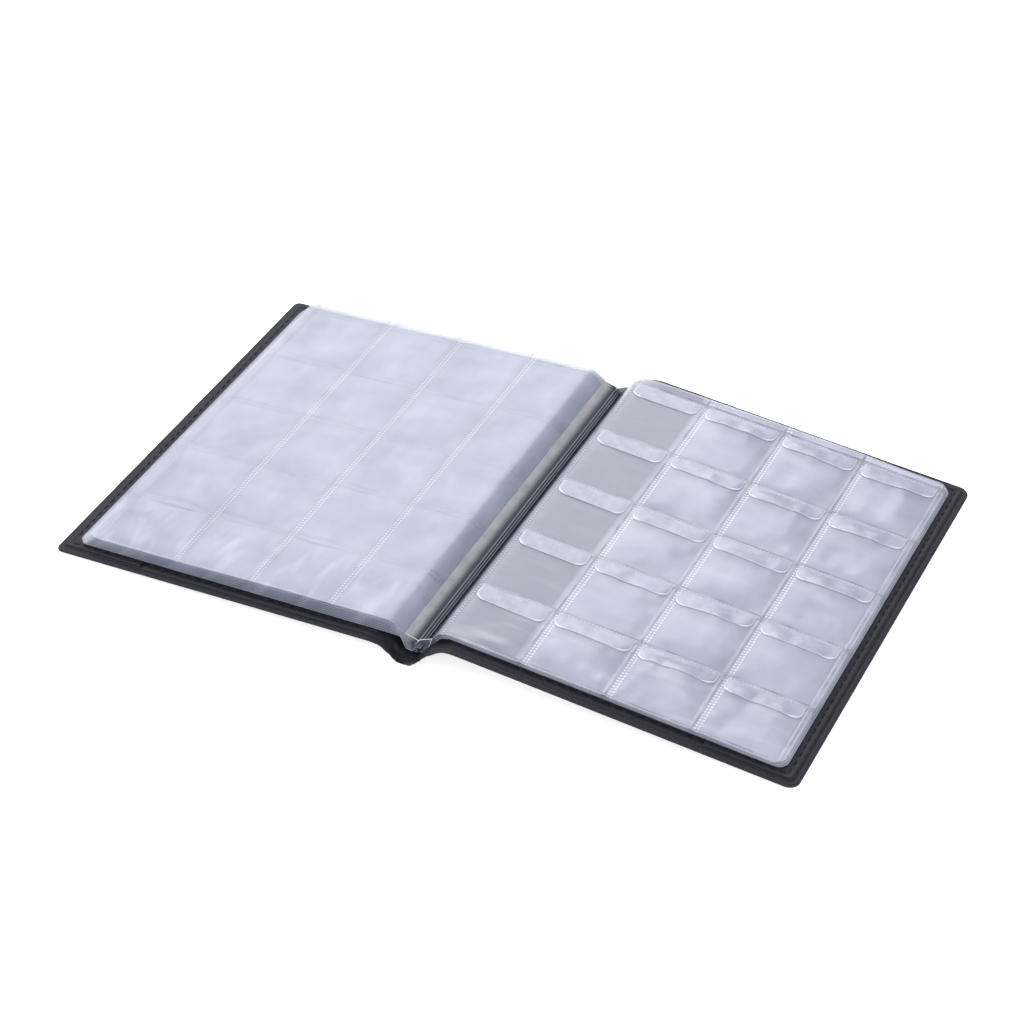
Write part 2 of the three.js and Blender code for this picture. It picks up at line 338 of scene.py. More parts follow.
def bump(tree, shader, height, distance, strength=1.0):
    inputs = {"Height": height, "Distance": distance * MM, "Strength": strength}
    node = add(tree, "ShaderNodeBump", inputs)
    tree.links.new(node.outputs[0], shader.inputs["Normal"])


# The leatherette's pattern sizes in millimetres, its relief, colours and roughness
GRAIN_CELL = 0.95
GRAIN_FINE = 0.35
GRAIN_SWELL = 2.2
GRAIN_RELIEF = 0.055
GRAIN_SHARES = {"cells": 0.6, "fine": 0.3, "swell": 0.9}
LEATHER_DRIFT = 26
LEATHER_DARK = (0.0135, 0.0135, 0.0195)
LEATHER_PALE = (0.027, 0.0265, 0.036)
LEATHER_ROUGHNESS = (0.56, 0.64)
LEATHER_SPECULAR = 0.22


def leatherette(name):
    """Embossed vinyl leather: small irregular cells, slow colour drift, and worn glossy high spots."""
    material, tree, shader = new_material(name)
    where = flat_position(tree)
    inputs = {"Vector": where, "Scale": 1 / (GRAIN_CELL * MM), "Randomness": 1.0}
    edges = add(tree, "ShaderNodeTexVoronoi", inputs, feature="DISTANCE_TO_EDGE").outputs["Distance"]
    patterns = {
        "cells": band(tree, edges, 0.0, 0.22, 0.0, 1.0),
        "fine": noise_texture(tree, where, GRAIN_FINE, 3, 0.6),
        "swell": noise_texture(tree, where, GRAIN_SWELL, 2),
    }
    height = 0.0
    for key, pattern in patterns.items():
        height = maths(tree, "ADD", height, times(tree, pattern, GRAIN_SHARES[key]))
    bump(tree, shader, height, GRAIN_RELIEF)
    drift = noise_texture(tree, where, LEATHER_DRIFT, 3, 0.55)
    tone = times(tree, patterns["cells"], band(tree, drift, 0.3, 0.7, 0.75, 1.0))
    colour = colour_between(tree, tone, LEATHER_DARK, LEATHER_PALE)
    rough = band(tree, drift, 0.3, 0.7, *LEATHER_ROUGHNESS)
    looks = {"Base Color": colour, "Roughness": rough, "Specular IOR Level": LEATHER_SPECULAR}
    fill(tree, shader, looks)
    return material


# Film colours, and how solid one face of a leaf is
FILM_DIM = (0.56, 0.585, 0.70)
FILM_PALE = (0.70, 0.725, 0.83)
# The pressed dots' white, also the milky margin's, the folds' painted sheen and the cut edges' painted
# highlight
FILM_DOT_AND_SHEEN = (0.90, 0.92, 0.98)
FILM_SHADE = (0.06, 0.065, 0.10)
FILM_GUTTER = (0.286, 0.299, 0.385)
# Painted shade at the bottom of the margins' valley
FILM_VALLEY_SHADE = (0.035, 0.038, 0.065)
FILM_SMOKE = ((0.09, 0.10, 0.14), (0.14, 0.15, 0.20))
FILM_SOLID = 0.43
FILM_GLOSS = {"Roughness": 0.3, "IOR": 1.5, "Coat Weight": 0.4, "Coat Roughness": 0.16}

# The pressed dots lie beside the thin line of each column's weld, and two lines follow the fore-edge
DOTS_ASIDE = 1.9
TOOTH_PITCH = 1.7
EDGE_LINES = (1.3, 3.2)

# Each pile's tint, how dim its gutter column is, its margin's share of solidity, and the way its painted fold
# sheen and shade run
FILM_LOOKS = {
    LEFT: ((0.70, 0.72, 0.775), 0.0, 1.0, "along"),
    RIGHT: ((0.81, 0.803, 0.842), 1.0, 0.1, "across"),
}


def film_colours(tint):
    """The film's dim and pale colour with a tint."""
    return [[a * b for a, b in zip(colour, tint)] for colour in (FILM_DIM, FILM_PALE)]


def in_mm(tree):
    """The two flat coordinates in millimetres."""
    parts = add(tree, "ShaderNodeSeparateXYZ", {0: flat_position(tree)})
    return [times(tree, parts.outputs[k], 1 / MM) for k in (0, 1)]


def finish_film(tree, shader, colour, solid, height, distance):
    """Links a film's colour, solidity and relief, and sets its gloss."""
    fill(tree, shader, {"Base Color": colour, "Alpha": solid, **FILM_GLOSS})
    bump(tree, shader, height, distance)


# How much more solid a leaf's film is at its dim column, its milky edge, its light dots and painted sheen,
# and its dark lines, marks and painted shade
FILM_ADDED = {"dim": 0.08, "milky": 0.12, "light": 0.14, "dark": 0.5}


def leaf_film(name, side, marks):
    """Clear blue-white vinyl with its welds, whose weld marks and painted shade are as strong as marks. The
    column by the gutter can be dimmer and the margin beyond it clearer, and the last row's film has painted
    sheen and painted shade where it is drawn into folds."""
    tint, gutter_share, margin_share, fold_shading_way = FILM_LOOKS[side]
    material, tree, shader = new_material(name)
    where = flat_position(tree)
    u, v = in_mm(tree)
    slow = noise_texture(tree, where, 24, 2, 0.5)
    soft = noise_texture(tree, where, 8, 1, 0.4)
    first = GUTTER_WELD[side]
    dots, shade, weld = weld_lines(tree, u, v, first, side)
    # Painted soft shade on each pocket's side away from the gutter
    shade = larger(tree, shade, painted_pocket_shade(tree, u, first))
    if side == LEFT:
        shade = larger(tree, shade, notches(tree, u, v, first))
    dots, shade = (times(tree, mask, marks) for mask in (dots, shade))
    # Painted sheen and painted shade where the film is drawn into folds
    fold_sheen_and_shade = painted_fold_sheen_and_shade(tree, u, v, first, fold_shading_way)
    column_end = first + COLUMN_PITCH
    puffed = band(tree, u, column_end - 3.2, column_end - 1.6, 0.0, 1.0)
    flat_column = less(tree, 1.0, larger(tree, puffed, weld))
    # The light mask is the pressed dots and the folds' painted sheen; the dark mask is the weld lines and
    # marks, the pockets' painted shade and the folds' painted shade
    masks = {
        "dim": times(tree, flat_column, gutter_share),
        "milky": band(tree, v, FIRST_WELD + 0.9, FIRST_WELD + 1.6, 0.0, 1.0),
        "light": larger(tree, dots, band(tree, fold_sheen_and_shade, -1.0, 0.0, 0.5, 0.0)),
        "dark": larger(tree, shade, band(tree, fold_sheen_and_shade, 0.0, 1.0, 0.0, 0.32)),
    }
    solid = band(tree, slow, 0.3, 0.7, FILM_SOLID - 0.01, FILM_SOLID + 0.02)
    solid = times(tree, solid, band(tree, u, first - 5, first - 2, margin_share, 1.0))
    for key, mask in masks.items():
        solid = maths(tree, "ADD", solid, times(tree, mask, FILM_ADDED[key]), clamp=True)
    colour = colour_between(tree, band(tree, slow, 0.3, 0.7, 0.0, 1.0), *film_colours(tint))
    colour = mixed(tree, masks["dim"], colour, FILM_GUTTER)
    for key, share, added in (("milky", 0.12, FILM_DOT_AND_SHEEN), ("light", 0.7, FILM_DOT_AND_SHEEN), ("dark", 0.9, FILM_SHADE)):
        colour = mixed(tree, times(tree, masks[key], share), colour, added)
    height = maths(tree, "ADD", times(tree, soft, 1.6), times(tree, dots, 0.5))
    finish_film(tree, shader, colour, solid, height, 0.1)
    return material


def painted_pocket_shade(tree, u, first):
    """Painted soft shade where a pocket's film turns down to the weld on its side away from the gutter."""
    across = maths(tree, "FLOORED_MODULO", less(tree, u, first), COLUMN_PITCH)
    rise = band(tree, across, COLUMN_PITCH - 9, COLUMN_PITCH - 4, 0.0, 1.0)
    fall = band(tree, across, COLUMN_PITCH - 3.2, COLUMN_PITCH - 1.4, 1.0, 0.0)
    patch = band(tree, noise_texture(tree, flat_position(tree), 17, 1, 0.4), 0.4, 0.62, 0.0, 0.26)
    past_first = band(tree, u, first + COLUMN_PITCH, first + COLUMN_PITCH + 1, 0.0, 1.0)
    shade = times(tree, times(tree, rise, fall), patch)
    return times(tree, shade, past_first)


def notches(tree, u, v, first):
    """The rows' ends, as short dark marks across the margin by the gutter."""
    from_row = pingpong(tree, less(tree, FIRST_WELD, v), ROW_PITCH / 2)
    mark = band(tree, from_row, 0.5, 1.3, 1.0, 0.0)
    return times(tree, mark, band(tree, u, first - 1.5, first + 0.5, 1.0, 0.0))


def painted_fold_sheen_and_shade(tree, u, v, first, way):
    """Painted light and shade of the folds, from -1, painted sheen, to 1, painted shade: long soft streaks,
    strong in the last row and faint in the others.
    """
    long, short = 26, 7.5
    scale = (1 / long, 1 / short) if way == "across" else (1 / short, 1 / long)
    parts = {"X": times(tree, u, scale[0]), "Y": times(tree, v, scale[1])}
    stretched = add(tree, "ShaderNodeCombineXYZ", parts).outputs[0]
    inputs = {"Vector": stretched, "Scale": 1.0, "Detail": 1.0, "Distortion": 0.3}
    fold_noise = add(tree, "ShaderNodeTexNoise", inputs).outputs["Fac"]
    strength = band(tree, v, LAST_WELD - 12, LAST_WELD - 5, 0.62, 0.14)
    centred = times(tree, less(tree, fold_noise, 0.5), 3.6)
    held = larger(tree, smaller(tree, centred, 1.0), -1.0)
    past_gutter = band(tree, u, first, first + 6, 0.0, 1.0)
    return times(tree, times(tree, held, strength), past_gutter)


def edged_film(name, alpha, edge_alpha, colours):
    """Vinyl between two colours, whose cut edge catches the light.

    The second flat coordinate is the distance from that edge."""
    material, tree, shader = new_material(name)
    where = flat_position(tree)
    _, from_edge = in_mm(tree)
    soft = noise_texture(tree, where, 6, 2, 0.5)
    edge = band(tree, from_edge, 0.15, 0.5, 1.0, 0.0)
    base = band(tree, soft, 0.3, 0.7, alpha - 0.03, alpha + 0.03)
    solid = maths(tree, "ADD", base, times(tree, edge, edge_alpha), clamp=True)
    colour = colour_between(tree, band(tree, soft, 0.3, 0.7, 0.0, 1.0), *colours)
    # Painted highlight along the cut edge
    colour = mixed(tree, edge, colour, FILM_DOT_AND_SHEEN)
    finish_film(tree, shader, colour, solid, soft, 0.05)
    return material


# The margins' film: its lines' heights up the valley, its milky colours, and where it turns milky
MARGIN_LINES = (0.9, 1.9, 3.1)
MARGIN_COLOURS = ((0.42, 0.42, 0.45), (0.55, 0.55, 0.59))
MARGIN_MILKY = (4.4, 7.2)


def margin_film(name):
    """The leaves' joined margins: milky where they leave the left pile and darkened by painted shade at the
    bottom of the valley, with the light lines of the weld that holds them together."""
    material, tree, shader = new_material(name)
    up, _ = in_mm(tree)
    soft = noise_texture(tree, flat_position(tree), 7, 2, 0.5)
    milky = band(tree, up, *MARGIN_MILKY, 0.0, 1.0)
    lines = 0.0
    for place in MARGIN_LINES:
        off = maths(tree, "ABSOLUTE", less(tree, up, place))
        lines = larger(tree, lines, band(tree, off, 0.08, 0.22, 1.0, 0.0))
    solid = band(tree, milky, 0.0, 1.0, 0.88, 0.42)
    colour = colour_between(tree, band(tree, soft, 0.3, 0.7, 0.0, 1.0), *MARGIN_COLOURS)
    # Painted shade toward the bottom of the valley
    colour = mixed(tree, less(tree, 1.0, milky), colour, FILM_VALLEY_SHADE)
    colour = mixed(tree, times(tree, lines, 0.45), colour, FILM_PALE)
    finish_film(tree, shader, colour, solid, soft, 0.12)
    return material


def line_at(tree, across, place, thick):
    """A mask of a thin line at a place."""
    off = maths(tree, "ABSOLUTE", less(tree, across, place))
    return band(tree, off, thick * 0.5, thick, 1.0, 0.0)


def dotted(tree, along):
    """A mask of round dots, pressed by the welding tool's teeth."""
    return band(tree, pingpong(tree, along, TOOTH_PITCH / 2), 0.3, 0.55, 1.0, 0.0)


def weld_lines(tree, u, v, first, side):
    """Masks over a leaf: the light pressed dots, the thin dark lines and marks, and the welds themselves."""
    half_pitch = COLUMN_PITCH / 2
    from_column = pingpong(tree, less(tree, u, first), half_pitch)
    from_dots = pingpong(tree, less(tree, u, first + DOTS_ASIDE * side), half_pitch)
    from_row = pingpong(tree, less(tree, FIRST_WELD, v), ROW_PITCH / 2)
    from_row = smaller(tree, from_row, less(tree, v, LEAF_BOTTOM))
    beyond = band(tree, u, first - 2.4, first - 2.0, 0.0, 1.0)
    last = first + COLUMNS * COLUMN_PITCH
    inner = band(tree, u, last - 4, last - 3, 1.0, 0.15)

    beads = dotted(tree, v)
    column_line = times(tree, line_at(tree, from_dots, 0.75, 0.5), inner)
    column_dots = times(tree, column_line, beads)
    between = times(tree, column_line, less(tree, 1.0, beads))
    row_dots = times(tree, line_at(tree, from_row, 0.5, 0.5), dotted(tree, u))
    row_dots = times(tree, row_dots, 0.25)
    dots = times(tree, larger(tree, column_dots, row_dots), beyond)

    column_weld = band(tree, from_column, 1.6, 2.0, 1.0, 0.0)
    row_weld = band(tree, from_row, 1.4, 1.8, 1.0, 0.0)
    weld = times(tree, larger(tree, column_weld, row_weld), beyond)

    shade = times(tree, band(tree, from_column, 0.3, 0.65, 1.0, 0.0), 0.9)
    dark_lines = [(line_at(tree, u, LEAF_LENGTH - inset, 0.4), 0.5) for inset in EDGE_LINES]
    for line, share in (*dark_lines, (line_at(tree, from_row, 1.2, 0.6), 0.9), (between, 0.22)):
        shade = larger(tree, shade, times(tree, line, share))
    patchy = band(tree, noise_texture(tree, flat_position(tree), 9, 2, 0.6), 0.35, 0.6, 0.5, 1.0)
    near_column = band(tree, from_column, 0.8, 2.6, 1.0, 0.0)
    crossing = times(tree, near_column, band(tree, from_row, 0.3, 1.3, 1.0, 0.0))
    crossing = times(tree, crossing, 0.9)
    shade = larger(tree, times(tree, shade, patchy), crossing)
    return dots, times(tree, shade, beyond), weld


def thread_material():
    """Black twisted thread."""
    material, tree, shader = new_material("sewing_thread")
    where = flat_position(tree)
    inputs = {"Vector": where, "Scale": 1 / (0.6 * MM), "Distortion": 0.6}
    twist = add(tree, "ShaderNodeTexWave", inputs, bands_direction="DIAGONAL").outputs["Fac"]
    colour = colour_between(tree, twist, (0.004, 0.004, 0.005), (0.016, 0.016, 0.019))
    fill(tree, shader, {"Base Color": colour, "Roughness": 0.8, "Specular IOR Level": 0.2})
    bump(tree, shader, twist, 0.08)
    return material


def board_material():
    """Grey board with flecks of fibre."""
    material, tree, shader = new_material("grey_board")
    where = object_position(tree)
    fleck = noise_texture(tree, where, 0.8, 5, 0.7)
    share = band(tree, fleck, 0.35, 0.65, 0.0, 1.0)
    colour = colour_between(tree, share, (0.30, 0.27, 0.23), (0.47, 0.43, 0.37))
    fill(tree, shader, {"Base Color": colour, "Roughness": 0.92})
    bump(tree, shader, fleck, 0.15)
    return material


def floor_material():
    """A plain white floor, with a little light of its own so that it fades into the background."""
    material, tree, shader = new_material("pale_floor")
    soft = noise_texture(tree, object_position(tree), 400, 2)
    colour = colour_between(tree, soft, (0.93, 0.93, 0.93), (0.96, 0.96, 0.96))
    fill(tree, shader, {"Base Color": colour, "Roughness": 0.9, "Specular IOR Level": 0.1})
    fill(tree, shader, {"Emission Color": (1, 1, 1, 1), "Emission Strength": 0.7})
    return material


# ---------------------------------------------------------------- leaves


def leaf_plate(number):
    """The inner and outer end of a leaf's middle line, from its backing film's box."""
    side = LEFT if number in LEFT_LEAVES else RIGHT
    low, high = box_mm(f"leaf_{number:02d}_backing")
    width, rise = high[0] - low[0], high[2] - low[2]
    tilt = math.atan2(rise - FILM, width)
    inner_x = high[0] if side == LEFT else low[0]
    # The pocket film is under a left leaf's backing and over a right leaf's
    middle = LEAF_MIDDLE - FILM / 2
    offset = -middle if side == LEFT else middle
    inner = np.array([inner_x, high[2] - FILM / 2 + offset])
    outer = inner + LEAF_LENGTH * np.array([side * math.cos(tilt), -math.sin(tilt)])
    return side, inner, outer


# Where the left leaves' margins leave the web and which way: the bottom leaf's, and the top one's change
LEFT_JOINT, LEFT_JOINT_RISE = np.array([-3.8, 8.9]), np.array([0, 1.95])
LEFT_WAY, LEFT_WAY_TURN = np.array([1.0, -0.1]), np.array([0, -0.65])

# Where the right leaves' margins start and turn: the top leaf's points, and the step to the next leaf
RIGHT_WALL, RIGHT_WALL_STEP = np.array([4.9, 5.0]), np.array([0.55, 0.1])
RIGHT_KNEE, RIGHT_KNEE_STEP = np.array([8.4, 12.3]), np.array([0.75, -0.35])
RIGHT_CLIMB = np.array([0.62, 0.78])


def left_margin(number, inner, inward):
    """From the binding's web out to a left leaf's inner end."""
    share = (number - 1) / (len(LEFT_LEAVES) - 1)
    joint = LEFT_JOINT + LEFT_JOINT_RISE * share
    toward = LEFT_WAY + LEFT_WAY_TURN * share
    toward /= np.linalg.norm(toward)
    return bezier([joint, joint - 2.6 * toward, inner + 4.4 * inward, inner])


def right_margin(number, inner, inward):
    """From the bottom of the gutter, up its wall and over the hump to a right leaf's inner end."""
    depth = number - RIGHT_LEAVES[0]
    wall = RIGHT_WALL + RIGHT_WALL_STEP * depth
    knee = RIGHT_KNEE + RIGHT_KNEE_STEP * depth
    lower = bezier([wall, wall + [0.1, 2.6], knee - 3.0 * RIGHT_CLIMB, knee], 14)
    upper = bezier([knee, knee + 3.2 * RIGHT_CLIMB, inner + 5.2 * inward, inner], 16)
    return np.concatenate([lower[:-1], upper])


def leaf_line(number):
    side, inner, outer = leaf_plate(number)
    inward = (inner - outer) / np.linalg.norm(inner - outer)
    margin = (left_margin if side == LEFT else right_margin)(number, inner, inward)
    length = np.linalg.norm(np.diff(margin, axis=0), axis=1).sum()
    plate = inner + (outer - inner) * np.linspace(0, 1, 40)[1:, None]
    return Line(np.concatenate([margin, plate]), side, zero=-length)


def in_pocket(s, y, first):
    """A point's pocket, by column from the gutter and row from the bottom, and how far in it is."""
    a = (s - first) / COLUMN_PITCH
    b = (FIRST_WELD - y) / ROW_PITCH
    column = np.clip(np.floor(a), 0, COLUMNS - 1).astype(int)
    down = np.clip(np.floor(b), 0, ROWS - 1).astype(int)
    from_column = (0.5 - np.abs(a - column - 0.5)) * COLUMN_PITCH
    from_row = (0.5 - np.abs(b - down - 0.5)) * ROW_PITCH
    from_row = np.minimum(from_row, y - LEAF_BOTTOM)
    return column, ROWS - 1 - down, np.maximum(from_column, 0), np.maximum(from_row, 0)


def pillow(s, y, first):
    """0 on the welds, rising quickly to about 1 in the middle of a pocket."""
    _, _, from_column, from_row = in_pocket(s, y, first)
    rise = lambda d: 1 - np.exp(-np.maximum(d - WELD_HALF, 0) / PILLOW_REACH)
    return rise(from_column) * rise(from_row)


def wrinkles(s, y, first, seed):
    """Folds that start at the welds and die out toward the middle of the pocket, plus slow waves."""
    _, _, from_column, from_row = in_pocket(s, y, first)
    near_side = np.exp(-from_column / 8) * noise(s * 0.3, y, 4.6, seed)
    near_end = np.exp(-from_row / 9) * noise(s, y * 0.28, 4.2, seed + 1)
    slow = noise(s, y, 13, seed + 2)
    return 0.8 * near_side + 0.9 * near_end + 0.6 * slow


# How much each pocket of the two top leaves stands up, by row from the bottom and column from the gutter
RIGHT_PUFF = np.array([
    [0.5, 2.5, 2.7, 2.5],
    [0.15, 1.6, 1.9, 1.9],
    [0.12, 1.5, 1.8, 1.9],
    [0.12, 1.5, 1.9, 1.9],
    [0.15, 1.4, 1.7, 1.8],
])
LEFT_PUFF = np.array([
    [0.9, 1.0, 1.0, 1.1],
    [0.5, 0.45, 0.5, 0.6],
    [0.35, 0.35, 0.4, 0.45],
    [0.3, 0.3, 0.3, 0.35],
    [0.25, 0.25, 0.3, 0.3],
])
WELD_THICK = 0.13
HIDDEN_PUFF = 0.16
PILLOW_REACH = 3.8


def weld_groove(s, y, first):
    """The two pressed lines along each weld, as a depth."""
    _, _, from_column, from_row = in_pocket(s, y, first)
    return 0.07 * np.maximum(ridge(from_column, 1.25, 0.32), ridge(from_row, 1.0, 0.32))


def film_height(number, up):
    """Height of one face of a leaf over its middle line; up is 1 for the face the reader sees."""
    side = LEFT if number in LEFT_LEAVES else RIGHT
    seed = 100 * number + 10 * (up > 0)
    first = GUTTER_WELD[side]
    table = (LEFT_PUFF if side == LEFT else RIGHT_PUFF) if number in TOP_LEAVES and up > 0 else None

    def height(s, y):
        column, row, _, _ = in_pocket(s, y, first)
        puff = HIDDEN_PUFF if table is None else table[row, column]
        swell = pillow(s, y, first)
        fold = wrinkles(s, y, first, seed)
        inside = (s > first) & (s < first + COLUMNS * COLUMN_PITCH)
        lift = np.where(inside, puff * swell * (0.62 + 0.7 * fold), 0)
        lift = np.maximum(lift, -0.1)
        return up * (WELD_THICK - weld_groove(s, y, first) * inside + lift) + slow_wave(number, s, y)

    return height


# The leaf under the open flaps has its far edge lifted this much
FAR_LIFT = 0.9


def slow_wave(number, s, y):
    """The leaf's own gentle waves, strongest in the top leaves and nil at the gutter."""
    strength = 0.45 if number in TOP_LEAVES else 0.1
    free = smoothstep(0, 60, s)
    wave = strength * free * (0.5 + 0.5 * noise(s, y, 48, 7 if number in LEFT_LEAVES else 8))
    if number == FLAP_LEAF:
        middle = smoothstep(128, 90, s) * smoothstep(-8, 10, s)
        wave = wave + FAR_LIFT * smoothstep(FIRST_WELD, LEAF_TOP, y) * middle
    return wave


# Grid lines beside each weld of a top leaf and of a hidden one, and the spacing between
WELD_GRID = {
    True: ((-2.3, -1.7, -1.25, -0.8, 0, 0.8, 1.25, 1.7, 2.3), 1.9),
    False: ((-1.9, -1.25, 0, 1.25, 1.9), 3.2),
}


def leaf_grid(number, line):
    """Distances along the leaf and positions across it for its mesh."""
    fine, step = WELD_GRID[number in TOP_LEAVES]
    first = GUTTER_WELD[line.side]
    welds = [first + k * COLUMN_PITCH for k in range(COLUMNS + 1)]
    stops = [w + f for w in welds for f in fine if w + f < LEAF_LENGTH - 0.4]
    along = spaced([line.at[0], line.at[0] + 0.3] + stops + [LEAF_LENGTH - 0.25, LEAF_LENGTH], step)
    rows = [FIRST_WELD - k * ROW_PITCH for k in range(ROWS)]
    stops = [r + f for r in rows for f in fine] + [LEAF_BOTTOM + f for f in fine if f > 0.3]
    across = spaced([LEAF_BOTTOM, LEAF_BOTTOM + 0.25, LEAF_TOP - 0.25, LEAF_TOP] + stops, step)
    return along, across


# Tuck flaps: their lower corners' radius, the rim drawn finer, and how far below the weld they start
FLAP_DEPTH = 8.5
FLAP_CORNER = 4
FLAP_RIM = 0.3
FLAP_BELOW = 0.6
FLAP_GAP = 0.05


def flap_squeeze(middle, half, top, depth, tilt):
    """From position and distance down a flap to its place: corners drawn in, and the lower edge tilted."""

    def squeeze(p, d):
        corner = np.clip(d - (depth - FLAP_CORNER), 0, FLAP_CORNER)
        cut = FLAP_CORNER - np.sqrt(FLAP_CORNER ** 2 - corner ** 2)
        q = p - middle
        reach = 2 * FLAP_CORNER
        drawn = q - np.sign(q) * cut * np.clip((np.abs(q) - half + reach) / reach, 0, 1)
        return middle + drawn, top - d * (1 + tilt * drawn / half / depth)

    return squeeze


def flap_label(middle, half, depth):
    """A flap's flat coordinates: position along it, and distance in from its free edge."""

    def label(p, d):
        side, end = half - np.abs(p - middle), depth - d
        corner = FLAP_CORNER - np.hypot(np.maximum(FLAP_CORNER - side, 0), np.maximum(FLAP_CORNER - end, 0))
        in_corner = (side < FLAP_CORNER) & (end < FLAP_CORNER)
        return p, np.where(in_corner, corner, np.minimum(side, end))

    return label


def flap_parts(line, number, row, column, face, inner_limit):
    """One tuck flap, lying over its pocket's mouth: a thin sheet with round lower corners."""
    first = GUTTER_WELD[line.side]
    inner = max(first + column * COLUMN_PITCH + WELD_HALF, inner_limit)
    outer = first + (column + 1) * COLUMN_PITCH - WELD_HALF
    top = FIRST_WELD - row * ROW_PITCH - FLAP_BELOW
    middle, half = (inner + outer) / 2, (outer - inner) / 2
    up = 1 if number in RIGHT_LEAVES else -1
    depth = FLAP_DEPTH + RNG.uniform(-0.3, 0.6)
    curl = RNG.uniform(0.02, 0.12) if number == FLAP_LEAF else 0.03
    tilt = RNG.uniform(-0.6, 0.6)
    sides = [side * (half - c) for c in (0, FLAP_RIM, FLAP_CORNER) for side in (-1, 1)]
    along = middle + spaced(sides, 2.2)
    down = spaced([0, FLAP_RIM] + [depth - c for c in (FLAP_CORNER, 2, 0.9, FLAP_RIM, 0)], 1.4)

    def lying(extra):
        def height(p, y):
            smooth_y = np.minimum(y, top - 1.2)
            share = np.clip((top - y) / depth, 0, 1)
            gap = FLAP_GAP + (curl * share ** 2 if up > 0 else 0)
            return face(p, smooth_y) + up * (gap + extra)
        return height

    outer_face, inner_face = (lying(FILM), lying(0.06)) if up > 0 else (lying(0.06), lying(FILM))
    squeeze = flap_squeeze(middle, half, top, depth, tilt)
    return shell_parts(line, along, down, outer_face, inner_face, squeeze, flap_label(middle, half, depth))


def blend_leaf(piece, number):
    """Bakes a leaf piece's placement into its mesh."""
    if number in LEFT_LEAVES:
        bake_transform(piece)
    else:
        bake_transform(piece)


def add_leaf(number, materials):
    """A leaf's two films as one shell, and its flaps: moving ones on the open leaf, joined ones elsewhere."""
    line = leaf_line(number)
    name = f"leaf_{number:02d}"
    along, across = leaf_grid(number, line)
    squeeze = round_corners(lambda p: LEAF_LENGTH - p, LEAF_HEIGHT / 2, LEAF_CORNER, LEAF_MIDDLE_Y)
    top, bottom = film_height(number, 1), film_height(number, -1)
    pile = "left" if number in LEFT_LEAVES else "right"
    chosen = materials[f"{pile}_top_film" if number in TOP_LEAVES else f"{pile}_film"]
    film = shell(f"{name}_film", line, along, across, top, bottom, chosen, squeeze)
    blend_leaf(film, number)
    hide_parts(f"{name}_backing", f"{name}_pockets")
    face = top if number in RIGHT_LEAVES else bottom
    pockets = [(row, column) for row in range(ROWS) for column in range(COLUMNS)]
    if number == FLAP_LEAF:
        for row, column in pockets:
            parts = flap_parts(line, number, row, column, face, -2.4)
            tag = f"{row + 1}{column + 1}"
            flap = make_mesh(f"tuck_flap_{tag}_film", *parts, materials["flap"])
            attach(flap, f"tuck_flap_{tag}")
            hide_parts(f"tuck_flap_row{row + 1}_column{column + 1}")
    else:
        flaps = [flap_parts(line, number, row, column, face, -5) for row, column in pockets]
        piece = make_mesh(f"{name}_flaps", *gathered(flaps), materials["flap"])
        blend_leaf(piece, number)


# The web's films, by the height they start at on the left pile and how far they sag toward the valley
WEB_FILMS = ((10.9, 0.9), (10.2, 0.2), (9.4, -0.2), (8.6, -0.6))
WEB_START_X = -4.6
WEB_HALF_THICK = 0.12
VALLEY = np.array([4.3, 6.2])


def add_web(materials):
    """The leaves' inner margins, welded together: films that run down from the left pile to the binding."""
    across = spaced([LEAF_BOTTOM, LEAF_BOTTOM + 0.3, LEAF_TOP - 0.3, LEAF_TOP], 4)
    films = []
    for k, (start_z, sag) in enumerate(WEB_FILMS):
        start = np.array([WEB_START_X, start_z + 0.15])
        leaving, arriving = start + [3.4, -1.0 + sag * 0.4], VALLEY + [-2.6, 1.6 + sag]
        line = Line(bezier([start, leaving, arriving, VALLEY + [-0.2 * k, -0.25 * k]])[::-1], LEFT)
        along = spaced([0, 0.3, line.at[-1] - 0.3, line.at[-1]], 1.0)
        ripple = lambda p, y, k=k: 0.12 * noise(p, y * 0.5, 6, 60 + k) * np.sin(np.pi * p / 9) ** 2
        top = lambda p, y: WEB_HALF_THICK + ripple(p, y)
        bottom = lambda p, y: -WEB_HALF_THICK + ripple(p, y)
        films.append(shell_parts(line, along, across, top, bottom))
    web = make_mesh("left_margin_films", *gathered(films), materials["web"])
    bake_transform(web)
    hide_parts("left_leaf_margins")


def pane_parts(corners, y, bulge, count=14):
    """A small upright film between four corners, given as X and Z, with its distance from the rim."""
    share = np.concatenate([[0, 0.02, 0.06], np.linspace(0.12, 0.88, count), [0.94, 0.98, 1]])
    a, b = np.meshgrid(share, share, indexing="ij")
    c00, c10, c11, c01 = (np.array(c, float)[:, None, None] for c in corners)
    x, z = c00 * (1 - a) * (1 - b) + c10 * a * (1 - b) + c11 * a * b + c01 * (1 - a) * b
    rim = np.minimum(np.minimum(a, 1 - a), np.minimum(b, 1 - b))
    wide = np.linalg.norm(np.array(corners[1], float) - corners[0])
    belly = y + bulge * 16 * a * (1 - a) * b * (1 - b)
    inner = rim > 0
    front = np.arange(a.size).reshape(a.shape)
    back = front.copy()
    back[inner] = a.size + np.arange(inner.sum())
    near = np.stack([x, belly - 0.09 * inner, z], -1).reshape(-1, 3)
    far = np.stack([x, belly + 0.09, z], -1)[inner]
    faces = []
    for index, order in ((front, 1), (back, -1)):
        ring = [index[:-1, :-1], index[1:, :-1], index[1:, 1:], index[:-1, 1:]][::order]
        faces.append(np.stack([r.ravel() for r in ring], 1))
    flat = np.stack([x.ravel(), (rim * wide).ravel()], 1)
    flat = np.concatenate([flat, flat[inner.ravel()]])
    return np.concatenate([near, far]), np.concatenate(faces), flat


